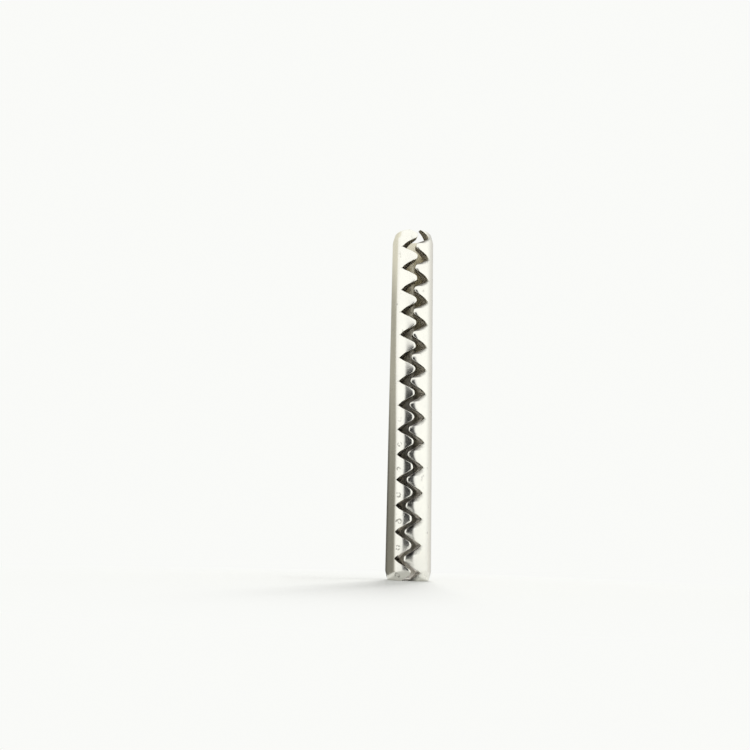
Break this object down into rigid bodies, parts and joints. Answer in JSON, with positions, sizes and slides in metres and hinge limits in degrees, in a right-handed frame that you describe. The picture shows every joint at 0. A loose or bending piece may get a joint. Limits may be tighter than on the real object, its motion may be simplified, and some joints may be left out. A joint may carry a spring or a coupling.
{
  "type": "slotted spring pin",
  "caption": "Spring steel strip rolled into a hollow pin, with a toothed zigzag slot along it and a tapered lead-in at each end.",
  "frame": {"origin": "on the surface that the pin stands on, below its middle", "axes": "+Z along the pin, -Y out through the slot, which faces the front"},
  "size_m": [0.0054, 0.0054, 0.045],
  "materials": {
    "steel": "bright rolled spring steel, lightly scratched"
  },
  "bodies": {
    "root": {"spring_pin": "steel"}
  },
  "joints": []
}
